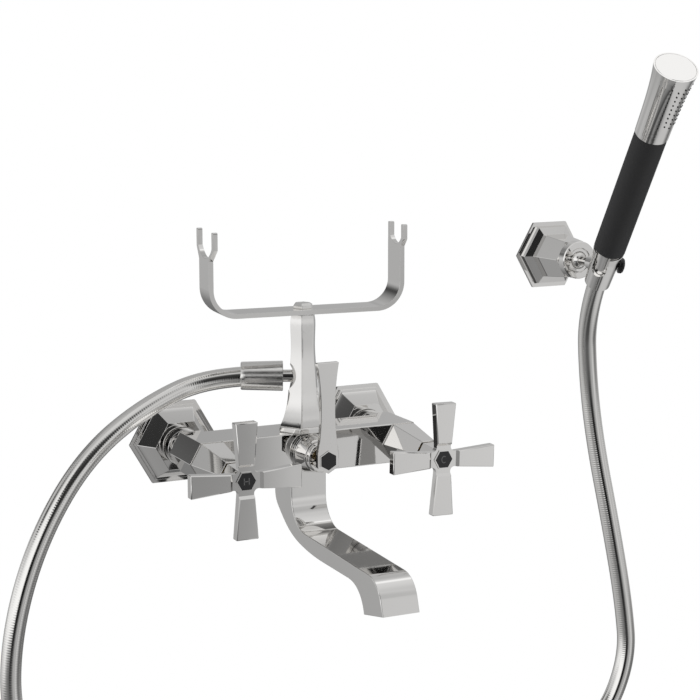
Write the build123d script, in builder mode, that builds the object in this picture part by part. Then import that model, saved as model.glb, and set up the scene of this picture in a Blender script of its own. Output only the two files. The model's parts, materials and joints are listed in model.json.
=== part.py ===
from build123d import *
from math import cos, pi, radians, sin, sqrt, tan
import os

os.makedirs("parts", exist_ok=True)

# Wall-mounted bath and shower mixer with a hose, a handset and its wall bracket.
# Millimetres. X runs to the right, Y into the wall and Z up. The wall is the plane Y = 0,
# and the origin lies on it, midway between the two inlets. A depth is a distance in front of it.

# Clearances
thread_gap = 0.1
running_gap = 0.08
seat_gap = 0.3
end_gap = 0.5
drill_gap = 1.0
turning_gap = 1.5
cut_past = 10.0
edge_round = 0.8
fine_round = 0.3

# Inlets and unions
inlet_spacing = 180.0
inlet_x = inlet_spacing / 2
wall_thread_radius = 10.48
wall_thread_length = 16.0
inlet_bore_radius = 7.5
tail_body_radius = 16.3
tail_body_back = 5.0
tail_body_front = 24.0
union_thread_radius = 13.1
union_thread_length = 9.5
washer_thickness = 1.5
union_radius = 16.5
union_front = 42.0
union_groove = 0.9
neck_lip = 2.0

# Wall flanges
flange_radius = 41.2
flange_plate = 3.0
flange_step_radius = 37.5
flange_step = 2.0
flange_skirt_radius = 35.0
flange_skirt_end_radius = 32.0
flange_skirt_end = 9.0
flange_face_radius = 24.0
flange_face = 22.0
flange_hollow_radius = 28.0
flange_hollow = 6.0

# Mixer body
body_height = 34.8
body_back = 50.0
body_front = 93.5
body_edge = 1.0
bar_overlap = 2.0
arm_back = 45.0
arm_front = 94.0
arm_groove = 1.2
arm_groove_inset = 1.6
taper_radius = 19.4
taper_end_radius = 12.1
taper_front = 140.0
valve_bore_radius = 9.2
valve_seat_back = 70.0
valve_seat_front = 74.0
valve_seat_radius = 5.0
crossway_depth = 82.0
crossway_radius = 5.0
chamber_radius = 11.0
spout_port_radius = 6.0
pillar_port_radius = 4.0
chamber_back = 60.0

# Valves and handles
spindle_radius = 4.0
cartridge_cavity_radius = 6.8
cartridge_cavity = 20.0
valve_disc_radius = 6.5
valve_disc = 3.0
cartridge_seal = 2.0
spindle_grip = 2.4
skirt_back_radius = 10.8
skirt_front_radius = 8.5
handle_back = 162.4
handle_thickness = 8.0
handle_reach = 48.2
handle_tip_width = 19.6
handle_root_width = 11.6
handle_crotch = 4.0
handle_bevel = 0.8
handle_turns = {"hot": 0.0, "cold": -1.4}
hub_recess = 2.2
hub_ramp_outer = 14.3
hub_ramp_inner = 11.9
index_radius = 8.0
index_thickness = 0.9
index_rim = 1.1
screw_radius = 2.5
screw_head_radius = 4.5
screw_head = 2.5
screw_reach = 12.0

# Diverter
sleeve_radius = 10.9
sleeve_bore_radius = 7.6
sleeve_cap = 3.5
port_radius = 3.5
bonnet_radius = 17.0
bonnet_front_radius = 12.5
bonnet_front = 119.0
bonnet_recess = 3.5
bonnet_recess_radius = 9.3
ring_step = 1.2
lever_front = 131.5
lever_thickness = 4.0
lever_top = 84.0
lever_top_width = 20.3
lever_waist_width = 13.0
lever_waist_height = 44.0
lever_hub_radius = 11.2
lever_boss_radius = 7.4
lever_index_radius = 7.9
lever_index_turn = 30.0

# Spout
spout_width = 33.0
spout_wall = 3.0
spout_front = 91.0
spout_back = 55.5
spout_port_depth = 74.0
spout_nipple_radius = 8.0
spout_nipple_bore = 5.5
spout_nipple_rise = 5.0
spout_top_plate = 6.0
spout_crown = 64.0
spout_nose = 68.4
spout_nose_depth = 257.0
spout_lip_front = (266.0, 96.0)
spout_lip_back = (232.5, 103.0)
spout_belly_start = 38.0
spout_belly = ((64.5, 54.6), (84.5, 68.3), (118.0, 77.6))
spout_belly_end = (160.0, 80.3)
spout_heel = (201.0, 80.6)
spout_throat = (221.5, 86.0)
spout_front_round = 27.0
spout_nose_round = 24.0
spout_throat_way = (-0.25, 1.0)
belly_inset = 0.7
throat_inset = 0.6
aerator_radius = 11.0
aerator_height = 10.0
aerator_wall = 2.0
aerator_setback = 0.4
aerator_flange = 1.2
aerator_cells = 5
aerator_cell = 3.0
aerator_hole = 1.8

# Pillar and hose outlet
pillar_depth = 80.5
plinth_radius = 22.8
plinth_height = 5.4
plinth_round = 1.6
pillar_sections = ((0.0, 21.8), (7.0, 18.5), (16.0, 15.9), (30.0, 14.0), (54.0, 12.0), (68.0, 11.3), (95.2, 10.7))
pillar_bore_radius = 4.5
outlet_height = 64.5
outlet_face = 6.0
outlet_turn = 23.0
outlet_lift = 0.5
dish_reach = 22.3
dish_radius = 15.9
outlet_disc_radius = 6.0
outlet_disc = 1.5
outlet_neck_radius = 5.3
outlet_thread_radius = 10.3
outlet_thread_start = 13.5
outlet_thread_length = 8.0
outlet_spigot = 4.0
check_valve_start = 3.0
check_valve_length = 9.0
ferrule_start = 11.4
ferrule_length = 36.2
ferrule_radius = 13.0
ferrule_end_radius = 12.1
outlet_bore_radius = 3.0
hose_washer = 1.5
hose_radius = 8.6

# Cradle
cradle_turn = -4.8
cradle_half_width = 87.6
cradle_strip = 4.0
cradle_back = 13.0
cradle_front = 15.0
cradle_washer = 1.5
cradle_corner = 24.5
fork_centre = 4.2
prong_width = 4.6
fork_tip = 193.6
fork_sizes = {"left": (24.0, 168.6, 178.9, 170.3), "right": (17.0, 174.6, 181.0, 176.0)}
fork_round = 1.2
fork_step = 1.0
bolt_radius = 3.0
bolt_reach = 18.0
bolt_head_radius = 9.0
bolt_head = 4.6

# Handset bracket
bracket_x = 293.8
bracket_z = 146.0
bracket_plate_radius = 35.6
bracket_plate = 2.7
bracket_step_radius = 31.6
bracket_step_end_radius = 30.2
bracket_step = 8.0
neck_back_radius = 23.0
neck_back = 10.5
neck_front_radius = 19.0
neck_front = 46.0
bracket_hollow_radius = 21.5
bracket_hollow = 6.6
backplate_radius = 20.8
backplate = 3.0
backplate_boss_radius = 12.4
backplate_boss_front = 22.0
fixing_spacing = 33.0
fixing_radius = 2.2
fixing_shank_radius = 1.8
fixing_head_radius = 3.7
fixing_head = 2.6
fixing_reach = 32.0
grub_radius = 1.5
grub_length = 5.0
grub_depth = 15.0
bracket_wall = 4.0
spigot_radius = 12.4
spigot_length = 3.0
spigot_bore_radius = 9.3
spigot_bore = 9.0
ring_radius = 17.5
ring_reach = 10.0
ball_reach = 5.5
ball_radius = 8.6
ball_seat_length = 8.0
socket_gap = 0.6
lip_rise = 2.8
lip_slope = 0.9
lip_thickness = 0.6
lip_floor = 2.4
lip_mouth = 3.4
pin_radius = 1.9
pin_sink = 1.3
stem_radius = 4.2
stem_reach = 22.7
stem_tip_radius = 3.0
stem_tip = 5.0

# Holder cup and handset
holder_reach = 44.5
handset_lean = 37.58
handset_side = -8.26
cup_bottom = -22.5
cup_top = 19.0
cup_bottom_radius = 11.8
cup_waist_radius = 12.8
cup_waist = 10.0
cup_top_radius = 14.2
cup_passage_radius = 8.9
cup_cone_start = -8.0
cup_cone_end_radius = 11.2
cup_boss_radius = 6.4
slot_width = 14.0
slot_bottom = -5.0
slot_turn = -58.0
knob_turn = 60.0
knob_radius = 7.25
knob_height = 5.6
knob_stem_radius = 2.4
knob_level = 3.0
knob_profile = ((1.0, 0.55), (0.86, 0.82), (0.5, 0.97))
collar_radius = 12.2
collar_top = 21.0
core_radius = 9.5
core_bore_radius = 5.5
core_start = 9.5
core_step = 1.5
core_tip_step = 1.0
grip_bottom = 21.3
grip_top = 158.6
grip_radius = 14.4
head_curve = ((158.7, 14.8), (175.0, 15.1), (205.0, 16.3), (230.6, 19.1))
head_wall = 2.0
head_floor = 4.0
head_cap = 2.0
cap_rim = 1.4
cap_ledge = 1.5
nozzle_rows = (10, 9, 10, 9, 10)
nozzle_row_angle = 20.0
nozzle_pitch = 4.8
nozzle_first = 176.5
nozzle_turn = 8.0
nozzle_hole_radius = 0.8
nozzle_radius = 0.62
nozzle_proud = 0.4
mat_thickness = 1.6
mat_margin = 5.0
tail_radius = 5.4
tail_wall = 1.4
tail_reach = 28.0
hose_end_level = -9.5
hose_bore_radius = 5.6
hose_lead = 50.0
hose_entry = 52.0
bend_share = 0.45


def front(depth, x=0.0, z=0.0):
    # Faces the room at a depth from the wall, with local x along X and local y along Z.
    return Plane(origin=(x, -depth, z), x_dir=(1, 0, 0), z_dir=(0, -1, 0))


def sideways(x, depth, z=0.0):
    # Faces left, with local x along the depth and local y along Z.
    return Plane(origin=(x, -depth, z), x_dir=(0, -1, 0), z_dir=(-1, 0, 0))


def turned(plane, outline, mode=Mode.ADD):
    # Revolves (radius, height) points round the plane's normal.
    side = Plane(origin=plane.origin, x_dir=plane.x_dir, z_dir=-plane.y_dir)
    with BuildSketch(side) as section:
        with BuildLine():
            Polyline(*outline, close=True)
        make_face()
    revolve(section.sketch, axis=Axis(plane.origin, plane.z_dir), mode=mode)


def disc(plane, radius):
    with BuildSketch(plane) as outline:
        Circle(radius)
    return outline.sketch


def rod(plane, radius, length):
    extrude(disc(plane, radius), amount=length)


def drilled(plane, radius, depth):
    extrude(disc(plane, radius), amount=depth, mode=Mode.SUBTRACT)


def crossed(plane, radius, reach):
    # A hole that runs both ways from the plane.
    extrude(disc(plane, radius), amount=reach, both=True, mode=Mode.SUBTRACT)


def hexagon(plane, radius, corner, turn=0.0):
    with BuildSketch(plane) as outline:
        RegularPolygon(radius, 6, rotation=turn)
        fillet(outline.vertices(), corner)
    return outline.sketch


def frusta(bands, x=0.0, z=0.0, corner=edge_round):
    # Six-sided bands along the depth, each from (depth, radius) to (depth, radius).
    for near, near_radius, far, far_radius in bands:
        loft([hexagon(front(near, x, z), near_radius, corner), hexagon(front(far, x, z), far_radius, corner)])


def finish(piece, name):
    piece.part.label = name
    export_step(piece.part, f"parts/{name}.step")


# Inlet unions: tail, flange, nut and washer on each side
body_half = body_height / 2
arm_radius = body_height / sqrt(3)
union_thread_front = tail_body_front + union_thread_length
neck_lip_back = union_thread_front + washer_thickness
neck_lip_radius = union_thread_radius - end_gap
neck_radius = wall_thread_radius
nut_shoulder = neck_lip_back + neck_lip + seat_gap


def wall_flange(side, x):
    with BuildPart() as flange:
        frusta(
            (
                (0.0, flange_radius, flange_plate, flange_radius),
                (flange_plate, flange_step_radius, flange_plate + flange_step, flange_step_radius),
                (
                    flange_plate + flange_step,
                    flange_skirt_radius,
                    flange_skirt_end,
                    flange_skirt_end_radius,
                ),
                (flange_skirt_end, flange_skirt_end_radius, flange_face, flange_face_radius),
            ),
            x,
        )
        drilled(front(0.0, x), tail_body_radius + seat_gap, flange_face)
        drilled(front(0.0, x), flange_hollow_radius, flange_hollow)
    finish(flange, f"{side}_wall_flange")


def inlet_tail(side, x):
    outline = (
        (inlet_bore_radius, -wall_thread_length),
        (wall_thread_radius, -wall_thread_length),
        (wall_thread_radius, tail_body_back),
        (tail_body_radius, tail_body_back),
        (tail_body_radius, tail_body_front),
        (union_thread_radius, tail_body_front),
        (union_thread_radius, union_thread_front),
        (inlet_bore_radius, union_thread_front),
    )
    with BuildPart() as tail:
        turned(front(0.0, x), outline)
    finish(tail, f"{side}_inlet_tail")


def union_nut(side, x):
    back = tail_body_front + seat_gap
    middle = (back + union_front) / 2
    groove = union_groove
    outline = (
        (union_thread_radius + thread_gap, back),
        (union_radius - groove / 2, back),
        (union_radius, back + groove / 2),
        (union_radius, middle - groove),
        (union_radius - groove, middle - groove / 2),
        (union_radius - groove, middle + groove / 2),
        (union_radius, middle + groove),
        (union_radius, union_front - groove),
        (union_radius - groove, union_front),
        (neck_radius + seat_gap, union_front),
        (neck_radius + seat_gap, nut_shoulder),
        (union_thread_radius + thread_gap, nut_shoulder),
    )
    with BuildPart() as nut:
        turned(front(0.0, x), outline)
    finish(nut, f"{side}_union_nut")


sides = {"hot": -inlet_x, "cold": inlet_x}
for side, x in sides.items():
    wall_flange(side, x)
    inlet_tail(side, x)
    union_nut(side, x)

with BuildPart() as washers:
    for x in sides.values():
        with BuildSketch(front(union_thread_front, x)):
            Circle(neck_lip_radius)
            Circle(inlet_bore_radius, mode=Mode.SUBTRACT)
        extrude(amount=washer_thickness)
finish(washers, "inlet_washers")

# Mixer body: one casting with the bar, both six-sided arms and their waterways
taper_back = arm_front + arm_groove
bar_plane = sideways(0.0, (body_back + body_front) / 2)
bar_reach = inlet_x - arm_radius / 2 + bar_overlap

with BuildPart() as body:
    with BuildSketch(bar_plane):
        RectangleRounded(body_front - body_back, body_height, body_edge)
    extrude(amount=bar_reach, both=True)
    for x in sides.values():
        frusta(
            (
                (arm_back, arm_radius, arm_front, arm_radius),
                (arm_front, arm_radius - arm_groove_inset, taper_back, arm_radius - arm_groove_inset),
                (taper_back, taper_radius, taper_front, taper_end_radius),
            ),
            x,
        )
        rod(front(neck_lip_back, x), neck_lip_radius, neck_lip)
        rod(front(neck_lip_back, x), neck_radius, arm_back - neck_lip_back)
        drilled(front(neck_lip_back, x), inlet_bore_radius, valve_seat_back - neck_lip_back)
        drilled(front(valve_seat_back, x), valve_seat_radius, valve_seat_front - valve_seat_back)
        drilled(front(valve_seat_front, x), valve_bore_radius, taper_front - valve_seat_front)
    crossed(sideways(0.0, crossway_depth), crossway_radius, inlet_x)
    drilled(front(chamber_back), chamber_radius, body_front - chamber_back)
    drilled(Plane((0, -pillar_depth, 0)), pillar_port_radius, body_height)
    drilled(Plane((0, -spout_port_depth, -body_height)), spout_port_radius, body_height)
    nipple_hole = Plane((0, -spout_port_depth, -body_height))
    drilled(nipple_hole, spout_nipple_radius + thread_gap / 2, body_half + spout_nipple_rise)
finish(body, "mixer_body")

# Valves: cartridge, spindle, handle hub, cross handle, screw and index on each side
cartridge_back = valve_seat_front + cartridge_seal
cartridge_front = taper_front - edge_round
spindle_bore_radius = spindle_radius + running_gap
spindle_front = handle_back + spindle_grip
handle_front = handle_back + handle_thickness
hub_front = handle_front - hub_recess
screw_head_back = hub_front - screw_head - seat_gap
screw_back = screw_head_back - screw_reach
skirt_back = taper_front + turning_gap
rim_radius = index_radius + index_rim


def valve_cartridge(side, x):
    radius = valve_bore_radius - thread_gap
    cavity_front = cartridge_back + cartridge_cavity
    outline = (
        (cartridge_cavity_radius, cartridge_back),
        (radius, cartridge_back),
        (radius, cartridge_front),
        (spindle_bore_radius, cartridge_front),
        (spindle_bore_radius, cavity_front),
        (cartridge_cavity_radius, cavity_front),
    )
    with BuildPart() as cartridge:
        turned(front(0.0, x), outline)
        crossed(sideways(x, crossway_depth), port_radius, 2 * radius)
    finish(cartridge, f"{side}_valve_cartridge")


def valve_spindle(side, x):
    disc_back = cartridge_back + drill_gap
    outline = (
        (0.0, disc_back),
        (valve_disc_radius, disc_back),
        (valve_disc_radius, disc_back + valve_disc),
        (spindle_radius, disc_back + valve_disc),
        (spindle_radius, spindle_front),
        (screw_radius + thread_gap / 2, spindle_front),
        (screw_radius + thread_gap / 2, screw_back - drill_gap),
        (0.0, screw_back - drill_gap),
    )
    with BuildPart() as spindle:
        turned(front(0.0, x), outline)
    finish(spindle, f"{side}_spindle")


def handle_skirt(side, x):
    with BuildPart() as skirt:
        frusta(((skirt_back, skirt_back_radius, handle_back, skirt_front_radius),), x, corner=edge_round / 2)
        drilled(front(skirt_back, x), spindle_radius + thread_gap / 2, handle_back - skirt_back)
    finish(skirt, f"{side}_handle_skirt")


def cross_handle(side, x):
    half_tip = handle_tip_width / 2
    half_root = handle_root_width / 2
    turn = handle_turns[side]
    with BuildPart() as handle:
        with BuildSketch(front(handle_back, x)) as cross:
            with PolarLocations(0, 4, start_angle=turn):
                Polygon(
                    (0, -half_root),
                    (handle_reach, -half_tip),
                    (handle_reach, half_tip),
                    (0, half_root),
                )
            fillet(cross.vertices().sort_by_distance((0, 0, 0))[:4], handle_crotch)
            fillet(cross.vertices().filter_by(lambda v: v.center().length > handle_reach), edge_round)
        extrude(amount=handle_thickness)
        chamfer(handle.faces().sort_by(Axis.Y)[0].edges(), handle_bevel)
        chamfer(handle.faces().sort_by(Axis.Y)[-1].edges(), handle_bevel / 2)
        for depth, half in ((handle_front, hub_ramp_outer), (hub_front, hub_ramp_inner)):
            with BuildSketch(front(depth, x)):
                Rectangle(2 * half, 2 * half, rotation=turn)
        loft(mode=Mode.SUBTRACT)
        extrude(hexagon(front(hub_front, x), rim_radius, fine_round, turn), amount=index_thickness)
        index_pocket = hexagon(front(hub_front, x), index_radius + thread_gap / 2, fine_round, turn)
        extrude(index_pocket, amount=index_thickness, mode=Mode.SUBTRACT)
        drilled(front(handle_back, x), spindle_radius + thread_gap / 2, spindle_front - handle_back)
        drilled(front(handle_back, x), screw_radius + thread_gap, hub_front - handle_back)
        drilled(front(screw_head_back, x), screw_head_radius + thread_gap, hub_front - screw_head_back)
    finish(handle, f"{side}_cross_handle")


def handle_screw(name, x, head_back):
    with BuildPart() as screw:
        rod(front(head_back - screw_reach, x), screw_radius, screw_reach)
        rod(front(head_back, x), screw_head_radius, screw_head)
        key = hexagon(front(head_back + screw_head / 2, x), screw_radius, fine_round / 3)
        extrude(key, amount=screw_head / 2, mode=Mode.SUBTRACT)
    finish(screw, name)


def handle_index(name, x, back, radius, turn):
    with BuildPart() as index:
        extrude(hexagon(front(back, x), radius, fine_round, turn), amount=index_thickness)
        chamfer(index.faces().sort_by(Axis.Y)[0].edges(), index_thickness / 4)
    finish(index, name)


for side, x in sides.items():
    valve_cartridge(side, x)
    valve_spindle(side, x)
    handle_skirt(side, x)
    cross_handle(side, x)
    handle_screw(f"{side}_handle_screw", x, screw_head_back)
    handle_index(f"{side}_index", x, hub_front, index_radius, handle_turns[side])

# Diverter: sleeve and turning rotor in the body, spindle, bonnet, lever, screw and index
sleeve_back = chamber_back + end_gap
rotor_back = sleeve_back + end_gap
rotor_radius = sleeve_bore_radius - running_gap
rotor_front = body_front - sleeve_cap - running_gap
lever_back = lever_front - lever_thickness
boss_back = bonnet_front + turning_gap
lever_spindle_front = lever_back
lever_pocket = lever_front - index_thickness / 2
lever_screw_head_back = lever_pocket - screw_head - thread_gap
lever_screw_back = lever_screw_head_back - screw_reach

with BuildPart() as sleeve:
    turned(
        front(0.0),
        (
            (sleeve_bore_radius, sleeve_back),
            (sleeve_radius, sleeve_back),
            (sleeve_radius, body_front),
            (spindle_bore_radius, body_front),
            (spindle_bore_radius, body_front - sleeve_cap),
            (sleeve_bore_radius, body_front - sleeve_cap),
        ),
    )
    crossed(sideways(0.0, crossway_depth), port_radius, 2 * sleeve_radius)
    drilled(Plane((0, -pillar_depth, 0)), port_radius, 2 * sleeve_radius)
    drilled(Plane((0, -spout_port_depth, -2 * sleeve_radius)), port_radius, 2 * sleeve_radius)
finish(sleeve, "diverter_sleeve")

with BuildPart() as rotor:
    rod(front(rotor_back), rotor_radius, rotor_front - rotor_back)
    crossed(sideways(0.0, crossway_depth), port_radius, 2 * rotor_radius)
    drilled(Plane((0, -spout_port_depth, -2 * rotor_radius)), port_radius, 2 * rotor_radius)
finish(rotor, "diverter_rotor")

with BuildPart() as lever_spindle:
    turned(
        front(0.0),
        (
            (0.0, rotor_front),
            (spindle_radius, rotor_front),
            (spindle_radius, lever_spindle_front),
            (screw_radius + thread_gap / 2, lever_spindle_front),
            (screw_radius + thread_gap / 2, lever_screw_back - drill_gap),
            (0.0, lever_screw_back - drill_gap),
        ),
    )
finish(lever_spindle, "diverter_spindle")

bonnet_floor = bonnet_front - bonnet_recess
with BuildPart() as bonnet:
    turned(
        front(0.0),
        (
            (spindle_bore_radius, body_front),
            (bonnet_radius, body_front),
            (bonnet_radius, body_front + 3 * ring_step),
            (bonnet_radius - ring_step, body_front + 3.5 * ring_step),
            (bonnet_radius - ring_step, body_front + 4.5 * ring_step),
            (bonnet_radius - ring_step / 2, body_front + 5 * ring_step),
            (bonnet_front_radius + ring_step, bonnet_front - 5 * ring_step),
            (bonnet_front_radius, bonnet_front - 4.5 * ring_step),
            (bonnet_front_radius, bonnet_front - 3.5 * ring_step),
            (bonnet_front_radius + ring_step / 2, bonnet_front - 3 * ring_step),
            (bonnet_front_radius, bonnet_front - ring_step / 2),
            (bonnet_front_radius - ring_step / 2, bonnet_front),
            (bonnet_recess_radius, bonnet_front),
            (bonnet_recess_radius - ring_step / 2, bonnet_floor),
            (spindle_bore_radius, bonnet_floor),
        ),
    )
finish(bonnet, "diverter_bonnet")

with BuildPart() as lever:
    half_top = lever_top_width / 2
    half_waist = lever_waist_width / 2
    half_hub = lever_hub_radius * sqrt(3) / 2
    shoulder = lever_hub_radius / 2
    with BuildSketch(front(lever_back)) as outline:
        with BuildLine():
            Polyline(
                (-half_hub, shoulder),
                (-half_hub, -shoulder),
                (0, -lever_hub_radius),
                (half_hub, -shoulder),
                (half_hub, shoulder),
            )
            ThreePointArc((half_hub, shoulder), (half_waist, lever_waist_height), (half_top, lever_top))
            Line((half_top, lever_top), (-half_top, lever_top))
            ThreePointArc((-half_top, lever_top), (-half_waist, lever_waist_height), (-half_hub, shoulder))
        make_face()
        fillet(outline.vertices(), edge_round)
    extrude(amount=lever_thickness)
    chamfer(lever.faces().sort_by(Axis.Y)[0].edges(), handle_bevel / 2)
    rod(front(boss_back), lever_boss_radius, lever_back - boss_back)
    rim = hexagon(front(lever_front), lever_index_radius + index_rim, fine_round, lever_index_turn)
    extrude(rim, amount=index_thickness / 2)
    pocket_radius = lever_index_radius + thread_gap / 2
    pocket = hexagon(front(lever_pocket), pocket_radius, fine_round, lever_index_turn)
    extrude(pocket, amount=index_thickness, mode=Mode.SUBTRACT)
    drilled(front(boss_back), spindle_radius + thread_gap / 2, lever_spindle_front - boss_back)
    drilled(front(lever_back), screw_radius + thread_gap, lever_thickness)
    drilled(front(lever_screw_head_back), screw_head_radius + thread_gap, lever_thickness)
finish(lever, "diverter_lever")
handle_screw("diverter_screw", 0.0, lever_screw_head_back)
handle_index("diverter_index", 0.0, lever_pocket, lever_index_radius, lever_index_turn)

# Spout: a bent rectangular casting, its nipple and seal, and the aerator in its mouth
side_view = sideways(0.0, 0.0)


def spout_outline(inset, top):
    # Outline in (depth, height), drawn in by the wall on both curved sides.
    crown = -(spout_crown + inset)
    nose = -(spout_nose + inset)
    front_line = spout_front - inset
    back_line = spout_back + inset
    lip_front = (spout_lip_front[0] - inset, -spout_lip_front[1])
    lip_back = (spout_lip_back[0] + inset, -spout_lip_back[1])
    belly = [(depth + inset * belly_inset, inset * belly_inset - drop) for depth, drop in spout_belly]
    belly_end = (spout_belly_end[0], inset - spout_belly_end[1])
    heel = (spout_heel[0], inset - spout_heel[1])
    throat = (spout_throat[0] + inset * throat_inset, inset * throat_inset - spout_throat[1])
    with BuildSketch(side_view) as section:
        with BuildLine():
            FilletPolyline(
                (front_line, top),
                (front_line, crown),
                (spout_nose_depth - inset, nose),
                lip_front,
                radius=(spout_front_round + inset, spout_nose_round - inset),
            )
            Line(lip_front, lip_back)
            Spline(lip_back, throat, heel, tangents=(spout_throat_way, (-1.0, 0.0)))
            Line(heel, belly_end)
            belly_start = (back_line, -spout_belly_start)
            Spline(belly_end, *reversed(belly), belly_start, tangents=((-1.0, 0.0), (0.0, 1.0)))
            Polyline(belly_start, (back_line, top), (front_line, top))
        make_face()
    return section.sketch


outlet_run = (spout_lip_front[0] - spout_lip_back[0], spout_lip_back[1] - spout_lip_front[1])
outlet_width = sqrt(outlet_run[0] ** 2 + outlet_run[1] ** 2)
outlet_middle = (
    0,
    -(spout_lip_front[0] + spout_lip_back[0]) / 2,
    -(spout_lip_front[1] + spout_lip_back[1]) / 2,
)
mouth_up = Vector(0, outlet_run[1] / outlet_width, outlet_run[0] / outlet_width)
mouth = Plane(origin=outlet_middle, x_dir=(1, 0, 0), z_dir=mouth_up)

with BuildPart() as spout:
    extrude(spout_outline(0.0, -body_half), amount=spout_width / 2, both=True)
    long_edges = spout.faces().filter_by(Axis.X).edges()
    fillet(long_edges.filter_by(lambda e: e.center().Z < -body_half - edge_round), edge_round)
    waterway = spout_outline(spout_wall, -body_half - spout_top_plate)
    extrude(waterway, amount=spout_width / 2 - spout_wall, both=True, mode=Mode.SUBTRACT)
    with BuildSketch(mouth):
        Rectangle(spout_width - 2 * spout_wall, outlet_width - 2 * spout_wall)
    extrude(amount=spout_wall)
    with BuildSketch(mouth):
        Circle(aerator_radius + thread_gap)
    extrude(amount=aerator_height, mode=Mode.SUBTRACT)
    with BuildSketch(Plane((0, -spout_port_depth, -body_half - spout_top_plate))):
        Circle(spout_nipple_radius + thread_gap / 2)
    extrude(amount=spout_top_plate, mode=Mode.SUBTRACT)
finish(spout, "spout")

nipple_top = spout_nipple_rise - body_half - thread_gap
nipple_bottom = -body_half - spout_top_plate
with BuildPart() as spout_nipple:
    with BuildSketch(Plane((0, -spout_port_depth, nipple_bottom))):
        Circle(spout_nipple_radius)
        Circle(spout_nipple_bore, mode=Mode.SUBTRACT)
    extrude(amount=nipple_top - nipple_bottom)
finish(spout_nipple, "spout_nipple")

aerator_bore_radius = aerator_radius - aerator_wall
aerator_top = aerator_height - drill_gap
with BuildPart() as aerator:
    turned(
        mouth,
        (
            (aerator_bore_radius, aerator_setback),
            (aerator_radius, aerator_setback),
            (aerator_radius, aerator_top),
            (aerator_bore_radius, aerator_top),
        ),
    )
finish(aerator, "aerator_housing")

with BuildPart() as aerator_insert:
    rod(mouth.offset(aerator_flange), aerator_bore_radius - thread_gap, aerator_height / 2)
    with BuildSketch(mouth.offset(aerator_flange)):
        with GridLocations(aerator_cell, aerator_cell, aerator_cells, aerator_cells):
            Rectangle(aerator_hole, aerator_hole)
    extrude(amount=aerator_height / 2, mode=Mode.SUBTRACT)
finish(aerator_insert, "aerator_insert")

# Pillar: plinth, tapered six-sided column and the hose outlet on its left corner
plinth_top = body_half + plinth_height
pillar_top = plinth_top + pillar_sections[-1][0]
lift = radians(outlet_lift)
side_turn = radians(outlet_turn)
outlet_way = Vector(-cos(side_turn) * cos(lift), sin(side_turn) * cos(lift), sin(lift))
outlet_root = Vector(0, -pillar_depth, outlet_height)
outlet = Plane(
    origin=outlet_root + outlet_way * outlet_face,
    x_dir=(sin(side_turn), cos(side_turn), 0),
    z_dir=outlet_way,
)


def on_pillar(height):
    return Plane((0, -pillar_depth, height))


with BuildPart() as plinth:
    with BuildSketch(on_pillar(body_half)) as plinth_outline:
        RegularPolygon(plinth_radius, 6)
        fillet(plinth_outline.vertices(), edge_round)
    extrude(amount=plinth_height)
    fillet(plinth.faces().sort_by(Axis.Z)[-1].edges(), plinth_round)
    fillet(plinth.faces().sort_by(Axis.Z)[0].edges(), edge_round)
    drilled(on_pillar(body_half), pillar_bore_radius, plinth_height)
finish(plinth, "pillar_plinth")

with BuildPart() as pillar:
    loft([hexagon(on_pillar(plinth_top + rise), radius, edge_round / 2) for rise, radius in pillar_sections])
    drilled(on_pillar(plinth_top), pillar_bore_radius, outlet_height - plinth_top + pillar_bore_radius)
    drilled(outlet.offset(-outlet_face), pillar_bore_radius, outlet_face)
    drilled(outlet, outlet_disc_radius + thread_gap, 2 * outlet_disc_radius)
    with Locations(Location(outlet.offset(dish_reach - outlet_face))):
        Sphere(dish_radius, mode=Mode.SUBTRACT)
    bolt_hole = bolt_reach + drill_gap
    drilled(on_pillar(pillar_top - bolt_hole), bolt_radius + thread_gap / 2, bolt_hole)
finish(pillar, "pillar")

outlet_thread_end = outlet_thread_start + outlet_thread_length
with BuildPart() as outlet_nipple:
    turned(
        outlet,
        (
            (outlet_bore_radius, -outlet_spigot),
            (pillar_bore_radius - thread_gap / 2, -outlet_spigot),
            (pillar_bore_radius - thread_gap / 2, 0.0),
            (outlet_disc_radius, 0.0),
            (outlet_disc_radius, outlet_disc),
            (outlet_neck_radius, outlet_disc),
            (outlet_neck_radius, outlet_thread_start),
            (outlet_thread_radius, outlet_thread_start),
            (outlet_thread_radius, outlet_thread_end),
            (outlet_bore_radius, outlet_thread_end),
        ),
    )
finish(outlet_nipple, "outlet_nipple")

with BuildPart() as check_valve:
    rod(outlet.offset(check_valve_start), outlet_bore_radius - thread_gap / 2, check_valve_length)
finish(check_valve, "check_valve")

hose_seat = outlet_thread_end + hose_washer + seat_gap
ferrule_end = ferrule_start + ferrule_length
with BuildPart() as washer:
    with BuildSketch(outlet.offset(outlet_thread_end)):
        Circle(outlet_thread_radius - thread_gap)
        Circle(outlet_bore_radius, mode=Mode.SUBTRACT)
    extrude(amount=hose_washer)
finish(washer, "hose_washer")

with BuildPart() as ferrule:
    turned(
        outlet,
        (
            (outlet_thread_radius + thread_gap, ferrule_start),
            (ferrule_radius - edge_round / 2, ferrule_start),
            (ferrule_radius, ferrule_start + edge_round / 2),
            (ferrule_end_radius, ferrule_end - edge_round),
            (ferrule_end_radius - edge_round, ferrule_end),
            (hose_radius + thread_gap, ferrule_end),
            (hose_radius + thread_gap, hose_seat),
            (outlet_thread_radius + thread_gap, hose_seat),
        ),
    )
finish(ferrule, "mixer_ferrule")

# Cradle: one bent strip with a two-pronged fork at each end, swivelling on the pillar's bolt
turn = radians(cradle_turn)
along = Vector(cos(turn), sin(turn), 0)
back = Vector(-sin(turn), cos(turn), 0)
pillar_axis = Vector(0, -pillar_depth, 0)
cradle_bottom = pillar_top + cradle_washer
cradle_top = cradle_bottom + cradle_strip
cradle_plane = Plane(origin=pillar_axis, x_dir=along, z_dir=-back)

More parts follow.
